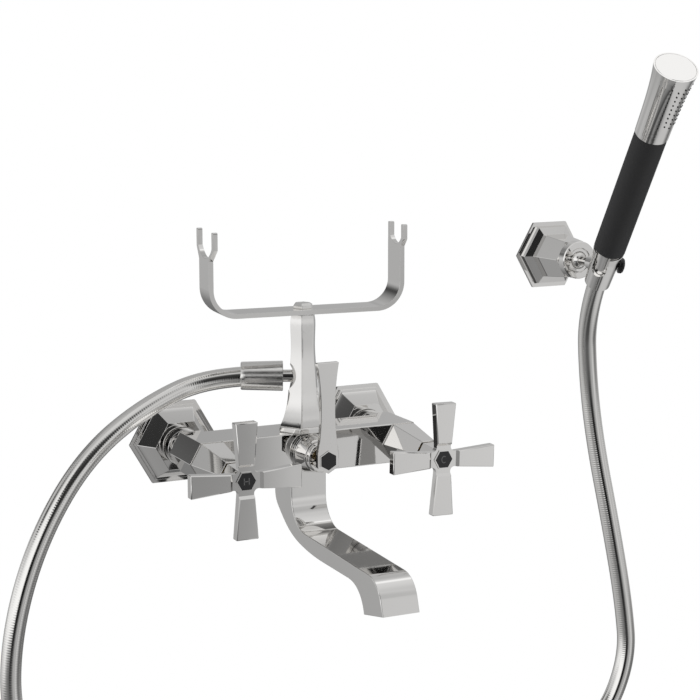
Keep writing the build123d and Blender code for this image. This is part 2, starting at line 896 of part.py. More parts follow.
with BuildPart() as cradle:
    wide = cradle_half_width
    inner = cradle_half_width - cradle_strip
    left_top = fork_sizes["left"][1]
    right_top = fork_sizes["right"][1]
    with BuildSketch(cradle_plane.offset(-cradle_back)):
        with BuildLine():
            outside = FilletPolyline(
                (-wide, left_top),
                (-wide, cradle_bottom),
                (wide, cradle_bottom),
                (wide, right_top),
                radius=cradle_corner,
            )
            inside = FilletPolyline(
                (-inner, left_top),
                (-inner, cradle_top),
                (inner, cradle_top),
                (inner, right_top),
                radius=cradle_corner - cradle_strip,
            )
            Line(outside @ 0, inside @ 0)
            Line(outside @ 1, inside @ 1)
        make_face()
    extrude(amount=cradle_back + cradle_front)
    for side, start in (("left", -wide), ("right", inner)):
        fork_half, split, shoulder, root = fork_sizes[side]
        fork_inner = fork_half - prong_width
        fork_plane = Plane(origin=pillar_axis + along * start - back * fork_centre, x_dir=back, z_dir=along)
        with BuildSketch(fork_plane) as fork:
            with BuildLine():
                ThreePointArc((-fork_inner, shoulder + fork_step), (0, root), (fork_inner, shoulder + fork_step))
                Polyline(
                    (fork_inner, shoulder + fork_step),
                    (fork_inner, fork_tip),
                    (fork_half, fork_tip),
                    (fork_half, shoulder),
                    (cradle_back + fork_centre, split),
                    (fork_centre - cradle_front, split),
                    (-fork_half, shoulder),
                    (-fork_half, fork_tip),
                    (-fork_inner, fork_tip),
                    (-fork_inner, shoulder + fork_step),
                )
            make_face()
            fillet(fork.vertices().group_by(Axis.Y)[-1], fork_round)
        extrude(amount=cradle_strip)
    drilled(on_pillar(cradle_bottom), bolt_radius + running_gap, cradle_strip)
finish(cradle, "handset_cradle")

with BuildPart() as spacer:
    with BuildSketch(on_pillar(pillar_top)):
        Circle(pillar_sections[-1][1] * sqrt(3) / 2)
        Circle(bolt_radius + thread_gap, mode=Mode.SUBTRACT)
    extrude(amount=cradle_washer)
finish(spacer, "cradle_washer")

with BuildPart() as bolt:
    rod(on_pillar(pillar_top - bolt_reach), bolt_radius, cradle_top - pillar_top + bolt_reach)
    with BuildSketch(on_pillar(cradle_top)):
        RegularPolygon(bolt_head_radius, 6)
    extrude(amount=bolt_head)
    chamfer(bolt.faces().sort_by(Axis.Z)[-1].edges(), bolt_head / 3, bolt_head / 2)
finish(bolt, "cradle_bolt")

# Bracket: backplate and its screws, six-sided flange and neck, socket ring and ball seat
spigot_bore_back = neck_front + spigot_length - spigot_bore
ball_depth = neck_front + ball_reach
ball_centre = Vector(bracket_x, -ball_depth, bracket_z)


def on_bracket(depth):
    return front(depth, bracket_x, bracket_z)


with BuildPart() as bracket:
    frusta(
        (
            (0.0, bracket_plate_radius, bracket_plate, bracket_plate_radius),
            (bracket_plate, bracket_step_radius, bracket_step, bracket_step_end_radius),
            (bracket_step, bracket_step_end_radius, neck_back, neck_back_radius),
            (neck_back, neck_back_radius, neck_front, neck_front_radius),
        ),
        bracket_x,
        bracket_z,
    )
    rod(on_bracket(neck_front), spigot_radius, spigot_length)
    drilled(on_bracket(0.0), bracket_hollow_radius, bracket_hollow)
    boss_hole = backplate_boss_radius + thread_gap
    drilled(on_bracket(0.0), boss_hole, spigot_bore_back - bracket_wall)
    drilled(on_bracket(spigot_bore_back), spigot_bore_radius, spigot_bore)
    grub_plane = Plane(origin=(bracket_x, -grub_depth, bracket_z), x_dir=(1, 0, 0), z_dir=(0, 0, -1))
    drilled(grub_plane, grub_radius + thread_gap / 2, neck_back_radius)
finish(bracket, "bracket_flange")

with BuildPart() as plate:
    rod(on_bracket(0.0), backplate_radius, backplate)
    rod(on_bracket(backplate), backplate_boss_radius, backplate_boss_front - backplate)
    with BuildSketch(on_bracket(0.0)):
        with GridLocations(0, fixing_spacing, 1, 2):
            Circle(fixing_radius + thread_gap)
    extrude(amount=backplate, mode=Mode.SUBTRACT)
finish(plate, "bracket_backplate")

with BuildPart() as screws:
    with BuildSketch(on_bracket(-fixing_reach)):
        with GridLocations(0, fixing_spacing, 1, 2):
            Circle(fixing_radius)
    extrude(amount=fixing_reach)
    with BuildSketch(on_bracket(0.0)):
        with GridLocations(0, fixing_spacing, 1, 2):
            Circle(fixing_shank_radius)
    extrude(amount=backplate)
    with BuildSketch(on_bracket(backplate)):
        with GridLocations(0, fixing_spacing, 1, 2):
            Circle(fixing_head_radius)
    extrude(amount=fixing_head)
finish(screws, "bracket_screws")

with BuildPart() as grub:
    with BuildSketch(grub_plane.offset(backplate_boss_radius)):
        Circle(grub_radius)
    extrude(amount=grub_length)
finish(grub, "bracket_grub_screw")

lip_depth = ball_depth + lip_rise
lip_radius = sqrt(ball_radius**2 - lip_rise**2) + thread_gap
ring_back = neck_front + seat_gap
ring_front = neck_front + ring_reach
pin_way = Plane(origin=ball_centre, x_dir=(0, -1, 0), z_dir=(-1, 0, 0))
pin_half = ring_radius - pin_sink
with BuildPart() as ring:
    turned(
        on_bracket(0.0),
        (
            (spigot_radius + thread_gap, ring_back),
            (ring_radius - edge_round, ring_back),
            (ring_radius, ring_back + edge_round),
            (ring_radius, ring_front - edge_round),
            (ring_radius - edge_round, ring_front),
            (lip_radius + lip_mouth, ring_front),
            (lip_radius + lip_floor, lip_depth + lip_thickness),
            (lip_radius, lip_depth + lip_thickness),
            (lip_radius, lip_depth),
            (ball_radius + socket_gap, lip_depth - lip_slope),
            (ball_radius + socket_gap, neck_front + spigot_length + seat_gap),
            (spigot_radius + thread_gap, neck_front + spigot_length + seat_gap),
        ),
    )
    with BuildSketch(pin_way):
        Circle(pin_radius)
    extrude(amount=pin_half, both=True, mode=Mode.SUBTRACT)
finish(ring, "socket_ring")

with BuildPart() as tilt_pin:
    with BuildSketch(pin_way):
        Circle(pin_radius)
    extrude(amount=pin_half, both=True)
finish(tilt_pin, "tilt_pin")

with BuildPart() as seat:
    rod(on_bracket(spigot_bore_back + end_gap), spigot_bore_radius - thread_gap, ball_seat_length)
    with Locations(ball_centre):
        Sphere(ball_radius + thread_gap, mode=Mode.SUBTRACT)
finish(seat, "ball_seat")

# Holder: pinned ball on a stem, the slotted cup that it carries and the cup's knob
lean = radians(handset_lean)
lean_side = radians(handset_side)
axis = Vector(sin(lean_side) * cos(lean), -sin(lean), cos(lean) * cos(lean_side)).normalized()
forward = Vector(0, -1, 0)
forward = (forward - axis * forward.dot(axis)).normalized()
stem_front = ball_depth + stem_reach
cup_depth = ball_depth + holder_reach
cup_centre = Vector(bracket_x, -cup_depth, bracket_z)
handset = Plane(origin=cup_centre, x_dir=forward, z_dir=axis)


def around(angle, level=0.0):
    # Plane on the handset's axis whose normal points out at an angle to the right of its front.
    spoke = handset.x_dir * cos(radians(angle)) + handset.y_dir * sin(radians(angle))
    return Plane(origin=cup_centre + axis * level, x_dir=axis.cross(spoke), z_dir=spoke)


with BuildPart() as ball:
    with Locations(ball_centre):
        Sphere(ball_radius, rotation=(90, 0, 0))
    stem_back = ball_depth + ball_radius / 2
    rod(on_bracket(stem_back), stem_radius, stem_front - stem_back)
    rod(on_bracket(stem_front), stem_tip_radius, stem_tip)
    with BuildSketch(pin_way):
        Circle(pin_radius + running_gap)
    extrude(amount=2 * ball_radius, both=True, mode=Mode.SUBTRACT)
finish(ball, "ball_stud")

cup_outline = (
    (cup_bottom_radius - edge_round / 2, cup_bottom),
    (cup_bottom_radius, cup_bottom + edge_round / 2),
    (cup_waist_radius, cup_waist),
    (cup_top_radius, cup_top - edge_round / 2),
    (cup_top_radius - edge_round / 2, cup_top),
)
with BuildPart() as cup:
    turned(handset, ((0.0, cup_bottom), *cup_outline, (0.0, cup_top)))
    rod(on_bracket(stem_front), cup_boss_radius, cup_depth - stem_front)
    turned(
        handset,
        (
            (0.0, cup_bottom - cut_past),
            (cup_passage_radius, cup_bottom - cut_past),
            (cup_passage_radius, cup_cone_start),
            (cup_cone_end_radius, cup_top),
            (cup_cone_end_radius, cup_top + cut_past),
            (0.0, cup_top + cut_past),
        ),
        Mode.SUBTRACT,
    )
    slot_height = cup_top - slot_bottom
    with BuildSketch(around(slot_turn, slot_bottom + slot_width / 2)):
        Circle(slot_width / 2)
        with Locations((0, slot_height / 2)):
            Rectangle(slot_width, slot_height)
    extrude(amount=2 * cup_top_radius, mode=Mode.SUBTRACT)
    drilled(on_bracket(stem_front), stem_tip_radius + thread_gap, stem_tip + 2 * thread_gap)
    drilled(around(knob_turn, knob_level), knob_stem_radius + thread_gap, 2 * cup_top_radius)
finish(cup, "holder_cup")

knob_base = cup_waist_radius + seat_gap
with BuildPart() as knob:
    turned(
        around(knob_turn, knob_level),
        (
            (0.0, cup_cone_end_radius),
            (knob_stem_radius, cup_cone_end_radius),
            (knob_stem_radius, knob_base),
            (knob_radius - edge_round, knob_base),
            (knob_radius, knob_base + edge_round),
            *[(knob_radius * out, knob_base + knob_height * up) for out, up in knob_profile],
            (0.0, knob_base + knob_height),
        ),
    )
finish(knob, "clamp_knob")

# Handset: hose nut, core tube, grip, head shell, nozzle mat and end cap
nut_slope_gap = seat_gap + thread_gap / 2
nut_bore_radius = core_radius - core_step + thread_gap
with BuildPart() as cone_nut:
    turned(
        handset,
        (
            (tail_radius + thread_gap, cup_cone_start),
            (cup_passage_radius - nut_slope_gap, cup_cone_start),
            (cup_cone_end_radius - nut_slope_gap, cup_top + seat_gap),
            (collar_radius, cup_top + seat_gap),
            (collar_radius, collar_top),
            (nut_bore_radius, collar_top),
            (nut_bore_radius, core_start - end_gap),
            (tail_radius + thread_gap, core_start - end_gap),
        ),
    )
finish(cone_nut, "hose_nut")

with BuildPart() as core:
    turned(
        handset,
        (
            (core_bore_radius, core_start),
            (core_radius - core_step, core_start),
            (core_radius - core_step, collar_top),
            (core_radius, collar_top),
            (core_radius, grip_top),
            (core_radius - core_tip_step, grip_top),
            (core_radius - core_tip_step, grip_top + 3 * head_floor),
            (core_bore_radius, grip_top + 3 * head_floor),
        ),
    )
finish(core, "handset_core")

with BuildPart() as grip:
    turned(
        handset,
        (
            (core_radius + thread_gap, grip_bottom),
            (grip_radius - edge_round, grip_bottom),
            (grip_radius, grip_bottom + edge_round),
            (grip_radius, grip_top - edge_round / 2),
            (grip_radius - edge_round / 2, grip_top),
            (core_radius + thread_gap, grip_top),
        ),
    )
finish(grip, "handset_grip")

head_bottom = head_curve[0][0]
head_top = head_curve[-1][0]
head_top_radius = head_curve[-1][1]
cap_level = head_top - head_cap


def head_section(inset, low, high):
    # Half section of the head between two levels, its side set in from the outer curve.
    side = Plane(origin=handset.origin, x_dir=handset.x_dir, z_dir=-handset.y_dir)
    with BuildSketch(side) as section:
        with BuildLine():
            curve = Spline(*[(radius - inset, level) for level, radius in head_curve])
            Polyline(curve @ 1, (0, head_top), (0, head_bottom), curve @ 0)
        make_face()
        with Locations((0, (low + high) / 2)):
            Rectangle(4 * head_top_radius, high - low, mode=Mode.INTERSECT)
    return section.sketch


def nozzles(radius, start, length, mode):
    middle = (len(nozzle_rows) - 1) / 2
    for row, count in enumerate(nozzle_rows):
        spoke = nozzle_turn + (row - middle) * nozzle_row_angle
        stagger = (max(nozzle_rows) - count) / 2
        for hole in range(count):
            level = nozzle_first + (hole + stagger) * nozzle_pitch
            extrude(disc(around(spoke, level).offset(start(level)), radius), amount=length, mode=mode)


def head_radius(level):
    # Straight lines between the curve's points, close enough to place a nozzle's tip.
    for (low, low_radius), (high, high_radius) in zip(head_curve, head_curve[1:]):
        if level <= high:
            return low_radius + (high_radius - low_radius) * (level - low) / (high - low)
    return head_top_radius


handset_axis = Axis(handset.origin, handset.z_dir)
with BuildPart() as head:
    revolve(head_section(0.0, head_bottom, head_top), axis=handset_axis)
    cavity = head_section(head_wall, head_bottom + head_floor, cap_level - head_cap)
    revolve(cavity, axis=handset_axis, mode=Mode.SUBTRACT)
    cap_radius = head_top_radius - cap_rim
    drilled(handset.offset(cap_level), cap_radius + thread_gap, head_cap)
    drilled(handset.offset(cap_level - head_cap), cap_radius - cap_ledge, head_cap)
    drilled(handset.offset(head_bottom), core_radius - core_tip_step + thread_gap, head_floor)
    nozzles(nozzle_hole_radius, lambda level: head_radius(level) - 2 * head_wall, 3 * head_wall, Mode.SUBTRACT)
finish(head, "head_shell")

with BuildPart() as cap:
    rod(handset.offset(cap_level + thread_gap), cap_radius, head_cap)
    chamfer(cap.edges().sort_by(handset_axis)[-1], fine_round)
finish(cap, "head_cap")

mat_low = nozzle_first - mat_margin
mat_high = nozzle_first + nozzle_pitch * (max(nozzle_rows) - 1) + mat_margin
mat_arc = nozzle_row_angle * (len(nozzle_rows) + 0.5)
with BuildPart() as mat:
    revolve(head_section(head_wall + thread_gap, mat_low, mat_high), axis=handset_axis)
    inner_mat = head_section(head_wall + thread_gap + mat_thickness, mat_low, mat_high)
    revolve(inner_mat, axis=handset_axis, mode=Mode.SUBTRACT)
    reach = 2 * head_top_radius
    half_arc = radians(mat_arc / 2)
    with BuildSketch(Plane(origin=cup_centre, x_dir=around(nozzle_turn).z_dir, z_dir=axis)):
        Polygon((0, 0), (reach, -reach * tan(half_arc)), (reach, reach * tan(half_arc)))
    extrude(amount=mat_high + cut_past, mode=Mode.INTERSECT)
    nozzles(
        nozzle_radius,
        lambda level: head_radius(level) - head_wall - mat_thickness,
        head_wall + mat_thickness + nozzle_proud,
        Mode.ADD,
    )
finish(mat, "nozzle_mat")

with BuildPart() as hose_tail:
    tail_start = hose_end_level - tail_reach
    with BuildSketch(handset.offset(tail_start)):
        Circle(tail_radius)
        Circle(tail_radius - tail_wall, mode=Mode.SUBTRACT)
    extrude(amount=core_start - turning_gap - tail_start)
finish(hose_tail, "hose_tail")

# Hose: out of the ferrule, down in one hanging loop and up into the holder's cup
hose_start = outlet.origin + outlet_way * (hose_seat + seat_gap)
hose_end = cup_centre + axis * hose_end_level
hose_route = [
    hose_start,
    hose_start + outlet_way * hose_lead,
    Vector(-137, -61, 47.5),
    Vector(-195, -72, 11),
    Vector(-238, -79, -53),
    Vector(-262, -80, -128),
    Vector(-266, -80, -200),
    Vector(-240, -80, -260),
    Vector(-183, -80, -303),
    Vector(-107, -79, -331),
    Vector(-20, -78, -347),
    Vector(70, -77, -352),
    Vector(160, -78, -348),
    Vector(245, -80, -334),
    Vector(313, -82, -300),
    Vector(341, -82, -240),
    Vector(337, -78, -184),
    Vector(328.5, -68.5, -112),
    Vector(317, -55, -30),
    Vector(309.5, -50.5, 33),
    hose_end - axis * hose_entry,
    hose_end,
]


def bend_radii(points):
    # Each bend is as large as its two runs allow.
    radii = []
    for before, corner, after in zip(points, points[1:], points[2:]):
        run_in = corner - before
        run_out = after - corner
        half_turn = radians(run_in.get_angle(run_out)) / 2
        radii.append(bend_share * min(run_in.length, run_out.length) / tan(half_turn))
    return radii


hose_bends = bend_radii(hose_route)
with BuildPart() as hose:
    with BuildLine() as route:
        FilletPolyline(*hose_route, radius=hose_bends)
    with BuildSketch(Plane(origin=hose_start, z_dir=outlet_way)):
        Circle(hose_radius)
    sweep()
    hose_volume = hose.part.volume
    bore_depth = tail_reach + turning_gap
    drilled(handset.offset(hose_end_level - bore_depth), hose_bore_radius, bore_depth)
finish(hose, "hose")

hose_length = sum(edge.length for edge in route.edges())
print("hose bends, mm:", [round(bend) for bend in hose_bends])
print("hose length, mm:", round(hose_length))
print("hose volume over section times length:", round(hose_volume / (pi * hose_radius**2 * hose_length), 4))
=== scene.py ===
import json
import math

import bmesh
import bpy
import numpy as np
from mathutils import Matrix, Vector


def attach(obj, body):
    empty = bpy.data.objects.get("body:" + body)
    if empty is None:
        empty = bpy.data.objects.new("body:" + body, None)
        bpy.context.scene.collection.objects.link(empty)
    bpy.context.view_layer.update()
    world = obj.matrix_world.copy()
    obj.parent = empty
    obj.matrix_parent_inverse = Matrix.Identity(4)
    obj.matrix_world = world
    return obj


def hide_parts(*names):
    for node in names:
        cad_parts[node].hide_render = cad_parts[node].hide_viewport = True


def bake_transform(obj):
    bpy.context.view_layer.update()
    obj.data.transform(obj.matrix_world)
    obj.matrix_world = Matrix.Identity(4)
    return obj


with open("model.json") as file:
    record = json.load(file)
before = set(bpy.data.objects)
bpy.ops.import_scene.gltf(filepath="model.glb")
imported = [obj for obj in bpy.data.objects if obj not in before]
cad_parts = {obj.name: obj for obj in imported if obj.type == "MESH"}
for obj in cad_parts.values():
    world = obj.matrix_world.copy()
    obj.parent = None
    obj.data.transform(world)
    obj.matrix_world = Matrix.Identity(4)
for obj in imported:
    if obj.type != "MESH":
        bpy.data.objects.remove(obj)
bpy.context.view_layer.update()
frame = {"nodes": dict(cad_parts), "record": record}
record = frame["record"]
slotOfNode = {part["node"]: part["material_slot"] for part in record["subparts"]}
bodyOfNode = {node: body for body, nodes in record["behaviour"]["bodies"].items() for node in nodes}
print("frame loaded:", len(frame["nodes"]), "nodes")

bpy.context.scene.view_settings.view_transform = "Standard"

# Camera at the photograph's viewpoint
cameraView = {
    "place": (-0.65115, -1.52603, 0.35679),
    "yawDegrees": 25.7135,   # towards +X from straight at the wall
    "pitchDegrees": 9.6645,  # downwards
    "rollRadians": 0.00084,
    "lens": 96.431,
    "sensor": 36.0,
    "nearClip": 0.05,
}
cameraData = bpy.data.cameras.new("photoCamera")
cameraData.lens = cameraView["lens"]
cameraData.sensor_width = cameraView["sensor"]
cameraData.clip_start = cameraView["nearClip"]
camera = bpy.data.objects.new("photoCamera", cameraData)
camera.location = cameraView["place"]
camera.rotation_mode = "XYZ"
camera.rotation_euler = (
    math.radians(90 - cameraView["pitchDegrees"]),
    cameraView["rollRadians"],
    math.radians(-cameraView["yawDegrees"]),
)
bpy.context.scene.collection.objects.link(camera)
bpy.context.scene.camera = camera


# Small helpers for node trees
def addNode(tree, kind, place=(0, 0), **values):
    node = tree.nodes.new(kind)
    node.location = place
    for name, value in values.items():
        if name in node.inputs:
            node.inputs[name].default_value = value
        else:
            setattr(node, name, value)
    return node


def setRamp(node, stops):
    elements = node.color_ramp.elements
    while len(elements) > len(stops):
        elements.remove(elements[-1])
    while len(elements) < len(stops):
        elements.new(1.0)
    for element, (position, grey) in zip(elements, stops):
        element.position = position
        element.color = (grey, grey, grey, 1.0)


# Studio: white for the camera, plain grey for diffuse light, and for reflections nine rings of pale and
# dark screens round the object. A height is the Z of a direction. A stop is a position and a grey, and
# positions run once round from -X (0) over -Y (0.25), +X (0.5) and +Y (0.75).
studioRings = {
    "below": {
        "height": -0.75,
        "stops": [
            (0.0, 0.05), (0.04, 0.26), (0.08, 0.14), (0.11, 0.06), (0.21, 0.06), (0.26, 0.28),
            (0.36, 0.50), (0.43, 0.55), (0.5, 0.55), (0.54, 0.50), (0.57, 0.50), (0.6, 0.26),
            (0.66, 0.12), (0.78, 0.18), (0.82, 0.34), (0.86, 0.20), (0.92, 0.30), (0.96, 0.20),
            (1.0, 0.05),
        ],
    },
    "low": {
        "height": -0.42,
        "stops": [
            (0.0, 0.18), (0.05, 0.20), (0.1, 0.16), (0.13, 0.11), (0.185, 0.11), (0.21, 0.16),
            (0.25, 0.30), (0.3, 0.42), (0.35, 0.50), (0.38, 0.36), (0.42, 0.14), (0.5, 0.14),
            (0.56, 0.16), (0.65, 0.12), (0.7, 0.14), (0.745, 0.20), (0.8, 0.33), (0.87, 0.47),
            (0.95, 0.36), (1.0, 0.18),
        ],
    },
    "level": {
        "height": -0.22,
        "stops": [
            (0.0, 0.80), (0.06, 0.34), (0.09, 0.22), (0.135, 0.14), (0.16, 0.02), (0.215, 0.02),
            (0.24, 0.20), (0.288, 0.50), (0.298, 0.36), (0.304, 0.26), (0.312, 0.28), (0.316, 0.50),
            (0.335, 0.64), (0.37, 0.62), (0.4, 0.34), (0.43, 0.16), (0.52, 0.26), (0.57, 0.45),
            (0.6, 0.55), (0.62, 0.30), (0.66, 0.30), (0.7, 0.16), (0.735, 0.18), (0.755, 0.20),
            (0.79, 0.44), (0.82, 0.38), (0.86, 0.55), (0.95, 0.72), (1.0, 0.80),
        ],
    },
    "horizon": {
        "height": 0.0,
        "stops": [
            (0.0, 0.95), (0.06, 1.00), (0.135, 1.00), (0.155, 0.80), (0.165, 0.00), (0.225, 0.00),
            (0.24, 0.15), (0.27, 0.28), (0.29, 0.50), (0.317, 0.66), (0.335, 0.52), (0.37, 0.45),
            (0.41, 0.60), (0.5, 0.45), (0.56, 0.60), (0.6, 0.30), (0.655, 0.50), (0.68, 0.46),
            (0.72, 0.30), (0.76, 0.55), (0.8, 0.44), (0.84, 0.55), (0.9, 0.85), (1.0, 0.95),
        ],
    },
    "above": {
        "height": 0.24,
        "stops": [
            (0.0, 0.75), (0.05, 0.95), (0.145, 1.00), (0.17, 0.70), (0.185, 0.02), (0.285, 0.02),
            (0.305, 0.50), (0.33, 0.62), (0.36, 0.55), (0.42, 0.50), (0.6, 0.60), (0.655, 0.52),
            (0.68, 0.40), (0.75, 0.20), (0.8, 0.03), (0.825, 0.05), (0.85, 0.30), (0.9, 0.60),
            (0.955, 0.55), (1.0, 0.75),
        ],
    },
    "upper": {
        "height": 0.37,
        "stops": [
            (0.0, 0.62), (0.05, 0.90), (0.14, 0.95), (0.165, 0.70), (0.185, 0.03), (0.285, 0.02),
            (0.3, 0.20), (0.315, 0.60), (0.36, 0.55), (0.42, 0.50), (0.6, 0.60), (0.66, 0.50),
            (0.7, 0.45), (0.75, 0.30), (0.8, 0.08), (0.85, 0.42), (0.9, 0.60), (0.955, 0.50),
            (1.0, 0.62),
        ],
    },
    "between": {
        "height": 0.47,
        "stops": [
            (0.0, 0.03), (0.03, 0.55), (0.06, 0.90), (0.13, 0.90), (0.15, 0.03), (0.29, 0.04),
            (0.31, 0.45), (0.35, 0.55), (0.4, 0.30), (0.45, 0.50), (0.6, 0.55), (0.66, 0.50),
            (0.7, 0.50), (0.75, 0.40), (0.8, 0.20), (0.85, 0.45), (0.9, 0.55), (0.945, 0.30),
            (0.96, 0.03), (1.0, 0.03),
        ],
    },
    "high": {
        "height": 0.62,
        "stops": [
            (0.0, 0.22), (0.06, 0.75), (0.11, 0.80), (0.14, 0.60), (0.16, 0.04), (0.28, 0.06),
            (0.33, 0.45), (0.355, 0.60), (0.4, 0.35), (0.5, 0.60), (0.62, 0.60), (0.68, 0.35),
            (0.78, 0.35), (0.82, 0.30), (0.85, 0.10), (0.88, 0.30), (0.93, 0.45), (0.97, 0.08),
            (1.0, 0.22),
        ],
    },
    "top": {
        "height": 0.88,
        "stops": [
            (0.0, 0.50), (0.1, 0.65), (0.2, 0.65), (0.35, 0.62), (0.5, 0.72), (0.525, 0.98),
            (0.55, 0.98), (0.575, 0.64), (0.6, 0.52), (0.63, 0.40), (0.8, 0.40), (1.0, 0.50),
        ],
    },
}
plainGrey = 0.75
world = bpy.data.worlds.new("studioWorld")
bpy.context.scene.world = world
world.use_nodes = True
tree = world.node_tree
tree.nodes.clear()
direction = addNode(tree, "ShaderNodeTexCoord", (-1400, 0))
axes = addNode(tree, "ShaderNodeSeparateXYZ", (-1200, 0))
tree.links.new(direction.outputs["Generated"], axes.inputs[0])
angle = addNode(tree, "ShaderNodeMath", (-1000, -100), operation="ARCTAN2")
tree.links.new(axes.outputs["Y"], angle.inputs[0])
tree.links.new(axes.outputs["X"], angle.inputs[1])
turn = addNode(tree, "ShaderNodeMapRange", (-800, -100))
turn.inputs["From Min"].default_value = -math.pi
turn.inputs["From Max"].default_value = math.pi
tree.links.new(angle.outputs[0], turn.inputs["Value"])
lowerColour, lowerHeight = None, None
for row, (ringName, ring) in enumerate(studioRings.items()):
    ramp = addNode(tree, "ShaderNodeValToRGB", (-600, -300 * row), label=ringName)
    setRamp(ramp, ring["stops"])
    tree.links.new(turn.outputs["Result"], ramp.inputs["Fac"])
    if lowerColour is None:
        lowerColour, lowerHeight = ramp.outputs["Color"], ring["height"]
        continue
    share = addNode(tree, "ShaderNodeMapRange", (-300, -300 * row), interpolation_type="SMOOTHSTEP")
    share.inputs["From Min"].default_value = lowerHeight
    share.inputs["From Max"].default_value = ring["height"]
    tree.links.new(axes.outputs["Z"], share.inputs["Value"])
    mix = addNode(tree, "ShaderNodeMix", (-100, -300 * row), data_type="RGBA")
    tree.links.new(share.outputs["Result"], mix.inputs["Factor"])
    tree.links.new(lowerColour, mix.inputs["A"])
    tree.links.new(ramp.outputs["Color"], mix.inputs["B"])
    lowerColour, lowerHeight = mix.outputs["Result"], ring["height"]
reflected = addNode(tree, "ShaderNodeBackground", (150, 200), Strength=1.0)
tree.links.new(lowerColour, reflected.inputs["Color"])
plain = addNode(
    tree,
    "ShaderNodeBackground",
    (150, 0),
    Color=(plainGrey, plainGrey, plainGrey, 1.0),
    Strength=1.0,
)
white = addNode(tree, "ShaderNodeBackground", (150, -200), Color=(1.0, 1.0, 1.0, 1.0), Strength=1.0)
path = addNode(tree, "ShaderNodeLightPath", (150, 500))
byGlossy = addNode(tree, "ShaderNodeMixShader", (400, 100))
tree.links.new(path.outputs["Is Glossy Ray"], byGlossy.inputs["Fac"])
tree.links.new(plain.outputs[0], byGlossy.inputs[1])
tree.links.new(reflected.outputs[0], byGlossy.inputs[2])
byCamera = addNode(tree, "ShaderNodeMixShader", (600, 0))
tree.links.new(path.outputs["Is Camera Ray"], byCamera.inputs["Fac"])
tree.links.new(byGlossy.outputs[0], byCamera.inputs[1])
tree.links.new(white.outputs[0], byCamera.inputs[2])
worldOut = addNode(tree, "ShaderNodeOutputWorld", (800, 0))
tree.links.new(byCamera.outputs[0], worldOut.inputs["Surface"])

# Lamps over the object, which light it but don't show in reflections
lamps = {
    "overLeft": {
        "place": (-1.6, -1.2, 1.9),
        "aim": (0.0, -0.1, 0.0),
        "size": (1.2, 0.8),
        "watts": 10.0,
    },
    "overRight": {
        "place": (1.9, -0.9, 1.6),
        "aim": (0.1, -0.1, 0.05),
        "size": (0.9, 1.3),
        "watts": 10.0,
    },
}
for lampName, values in lamps.items():
    lampData = bpy.data.lights.new(lampName, "AREA")
    lampData.shape = "RECTANGLE"
    lampData.size, lampData.size_y = values["size"]
    lampData.energy = values["watts"]
    lamp = bpy.data.objects.new(lampName, lampData)
    lamp.location = values["place"]
    lamp.rotation_mode = "QUATERNION"
    lamp.rotation_quaternion = (Vector(values["aim"]) - lamp.location).to_track_quat("-Z", "Y")
    lamp.visible_glossy = False
    bpy.context.scene.collection.objects.link(lamp)

print("studio ready")


# Finishes: one node group gives every finish its faint unevenness
unevennessValues = {
    "inputs": {"Scale": 60.0, "Roughness Low": 0.04, "Roughness High": 0.08, "Bump": 0.02},
    "noiseDetail": 3.0,
    "noiseRoughness": 0.55,
    "noiseLow": 0.3,
    "noiseHigh": 0.7,
    "bumpDistance": 0.0004,
}


def makeUnevenness(values):
    group = bpy.data.node_groups.new("unevenness", "ShaderNodeTree")
    for name, default in values["inputs"].items():
        socket = group.interface.new_socket(name, in_out="INPUT", socket_type="NodeSocketFloat")
        socket.default_value = default
    group.interface.new_socket("Roughness", in_out="OUTPUT", socket_type="NodeSocketFloat")
    group.interface.new_socket("Normal", in_out="OUTPUT", socket_type="NodeSocketVector")
    start = addNode(group, "NodeGroupInput", (-800, 0))
    end = addNode(group, "NodeGroupOutput", (400, 0))
    where = addNode(group, "ShaderNodeTexCoord", (-800, 300))
    noise = addNode(
        group,
        "ShaderNodeTexNoise",
        (-500, 200),
        Detail=values["noiseDetail"],
        Roughness=values["noiseRoughness"],
    )
    group.links.new(where.outputs["Object"], noise.inputs["Vector"])
    group.links.new(start.outputs["Scale"], noise.inputs["Scale"])
    spread = addNode(group, "ShaderNodeMapRange", (-200, 200))
    spread.inputs["From Min"].default_value = values["noiseLow"]
    spread.inputs["From Max"].default_value = values["noiseHigh"]
    group.links.new(noise.outputs["Fac"], spread.inputs["Value"])
    group.links.new(start.outputs["Roughness Low"], spread.inputs["To Min"])
    group.links.new(start.outputs["Roughness High"], spread.inputs["To Max"])
    group.links.new(spread.outputs["Result"], end.inputs["Roughness"])
    bump = addNode(group, "ShaderNodeBump", (0, -200), Distance=values["bumpDistance"])
    group.links.new(start.outputs["Bump"], bump.inputs["Strength"])
    group.links.new(noise.outputs["Fac"], bump.inputs["Height"])
    group.links.new(bump.outputs["Normal"], end.inputs["Normal"])
    return group


unevenness = makeUnevenness(unevennessValues)


def finish(name, colour, metallic, scale, roughness, bump):
    material = bpy.data.materials.new(name)
    material.use_nodes = True
    tree = material.node_tree
    shader = tree.nodes["Principled BSDF"]
    shader.inputs["Base Color"].default_value = (*colour, 1.0)
    shader.inputs["Metallic"].default_value = metallic
    rough = addNode(tree, "ShaderNodeGroup", (-300, 0), node_tree=unevenness)
    rough.inputs["Scale"].default_value = scale
    rough.inputs["Roughness Low"].default_value = roughness[0]
    rough.inputs["Roughness High"].default_value = roughness[1]
    rough.inputs["Bump"].default_value = bump
    tree.links.new(rough.outputs["Roughness"], shader.inputs["Roughness"])
    tree.links.new(rough.outputs["Normal"], shader.inputs["Normal"])
    return material


